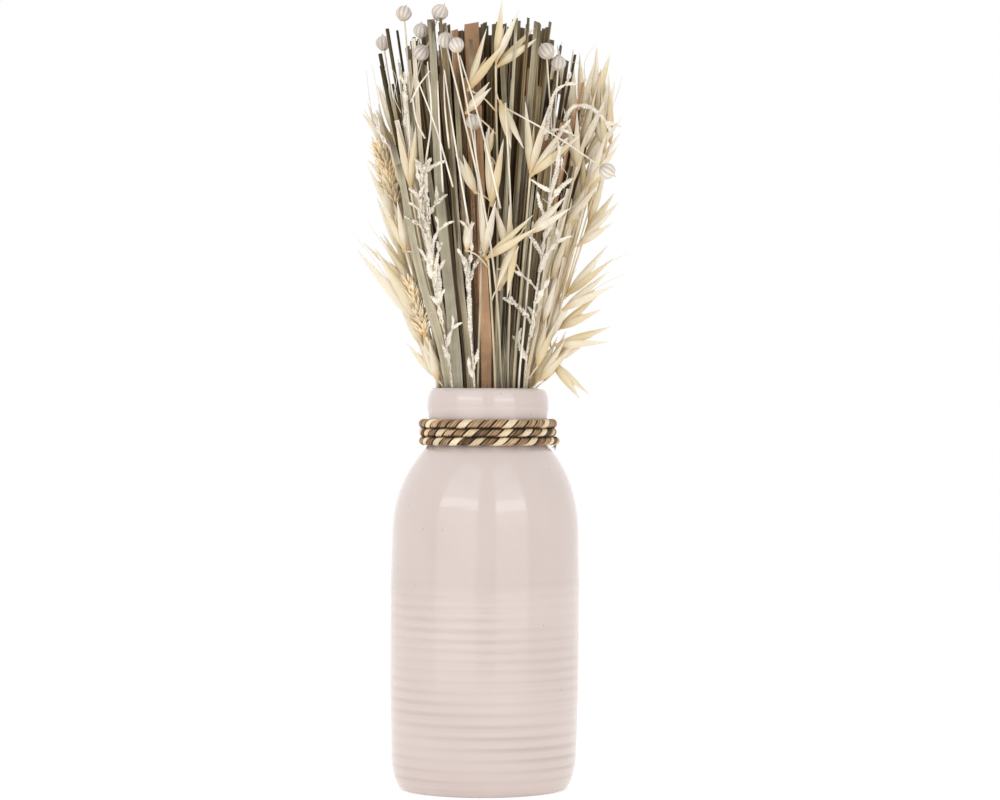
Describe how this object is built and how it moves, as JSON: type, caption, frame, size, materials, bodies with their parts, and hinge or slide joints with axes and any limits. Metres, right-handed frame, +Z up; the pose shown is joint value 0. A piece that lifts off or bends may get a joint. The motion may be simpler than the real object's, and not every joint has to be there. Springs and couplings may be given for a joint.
{
  "type": "dried flowers in vase",
  "caption": "Narrow-necked glazed stoneware vase with a cord round its neck, holding an upright fan of dried leaf strips, oats, seed pods and statice.",
  "frame": {"origin": "middle of the vase's flat base", "axes": "+Z up along the vase's axis, -Y towards the bouquet's front, +X to its right"},
  "size_m": [0.1136, 0.0854, 0.3295],
  "materials": {
    "glazed_stoneware": "gloss",
    "seagrass_cord": "matte",
    "grey_green_leaf": "matte",
    "copper_sheath": "matte",
    "dark_stalk": "matte",
    "bleached_oat": "matte",
    "golden_canary": "matte",
    "bleached_flax": "matte",
    "white_statice": "matte",
    "pale_straw": "matte"
  },
  "bodies": {
    "root": {"vase": "glazed_stoneware", "neck_cord": "seagrass_cord", "leaf_blade_01": "grey_green_leaf", "leaf_blade_02": "grey_green_leaf", "leaf_blade_03": "grey_green_leaf", "leaf_blade_04": "grey_green_leaf", "leaf_blade_05": "grey_green_leaf", "leaf_blade_06": "grey_green_leaf", "leaf_blade_07": "grey_green_leaf", "leaf_blade_08": "grey_green_leaf", "leaf_blade_09": "grey_green_leaf", "leaf_blade_10": "grey_green_leaf", "leaf_blade_11": "grey_green_leaf", "leaf_blade_12": "grey_green_leaf", "leaf_blade_13": "grey_green_leaf", "leaf_blade_14": "grey_green_leaf", "leaf_blade_15": "grey_green_leaf", "leaf_blade_16": "grey_green_leaf", "leaf_blade_17": "grey_green_leaf", "leaf_blade_18": "grey_green_leaf", "leaf_blade_19": "grey_green_leaf", "leaf_blade_20": "grey_green_leaf", "copper_sheath_back": "copper_sheath", "copper_sheath_front": "copper_sheath", "dark_stalk_1": "dark_stalk", "dark_stalk_2": "dark_stalk", "oat_back_left": "bleached_oat", "oat_back_mid": "bleached_oat", "oat_back_right": "bleached_oat", "oat_centre_right": "bleached_oat", "oat_centre_top": "bleached_oat", "oat_left": "bleached_oat", "oat_left_top": "bleached_oat", "oat_middle": "bleached_oat", "oat_right_edge": "bleached_oat", "oat_right_top": "bleached_oat", "oat_side_right": "bleached_oat", "husk_left": "bleached_oat", "canary_back": "golden_canary", "canary_left": "golden_canary", "flax_back_left": "bleached_flax", "flax_back_right": "bleached_flax", "flax_cross": "bleached_flax", "flax_kinked": "bleached_flax", "flax_left_a": "bleached_flax", "flax_left_b": "bleached_flax", "flax_mid": "bleached_flax", "flax_right": "bleached_flax", "statice_back": "white_statice", "statice_left": "white_statice", "statice_mid": "white_statice", "statice_right": "white_statice", "straw_front": "pale_straw"}
  },
  "joints": []
}
